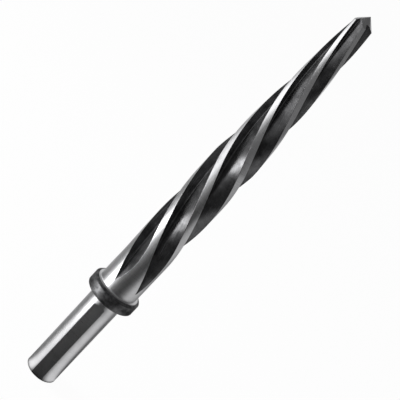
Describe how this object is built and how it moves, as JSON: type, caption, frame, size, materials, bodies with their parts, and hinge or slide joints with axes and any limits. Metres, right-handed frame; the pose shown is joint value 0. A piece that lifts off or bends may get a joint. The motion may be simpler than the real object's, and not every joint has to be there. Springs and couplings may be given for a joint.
{
  "type": "spiral flute taper reamer",
  "caption": "One-piece steel taper reamer with left-hand spiral flutes, a drive collar and a round shank with drive flats.",
  "frame": {"origin": "centre of the shank's end face, on the tool's axis, where it stands", "axes": "+Z along the tool's axis from the shank's end to the point; -Y is the outward normal of one drive flat"},
  "size_m": [0.0198, 0.0198, 0.1767],
  "materials": {
    "tool_steel": "ground bright lands and shank, darker heat-treated flutes and collar"
  },
  "bodies": {
    "root": {"reamer": "tool_steel"}
  },
  "joints": []
}
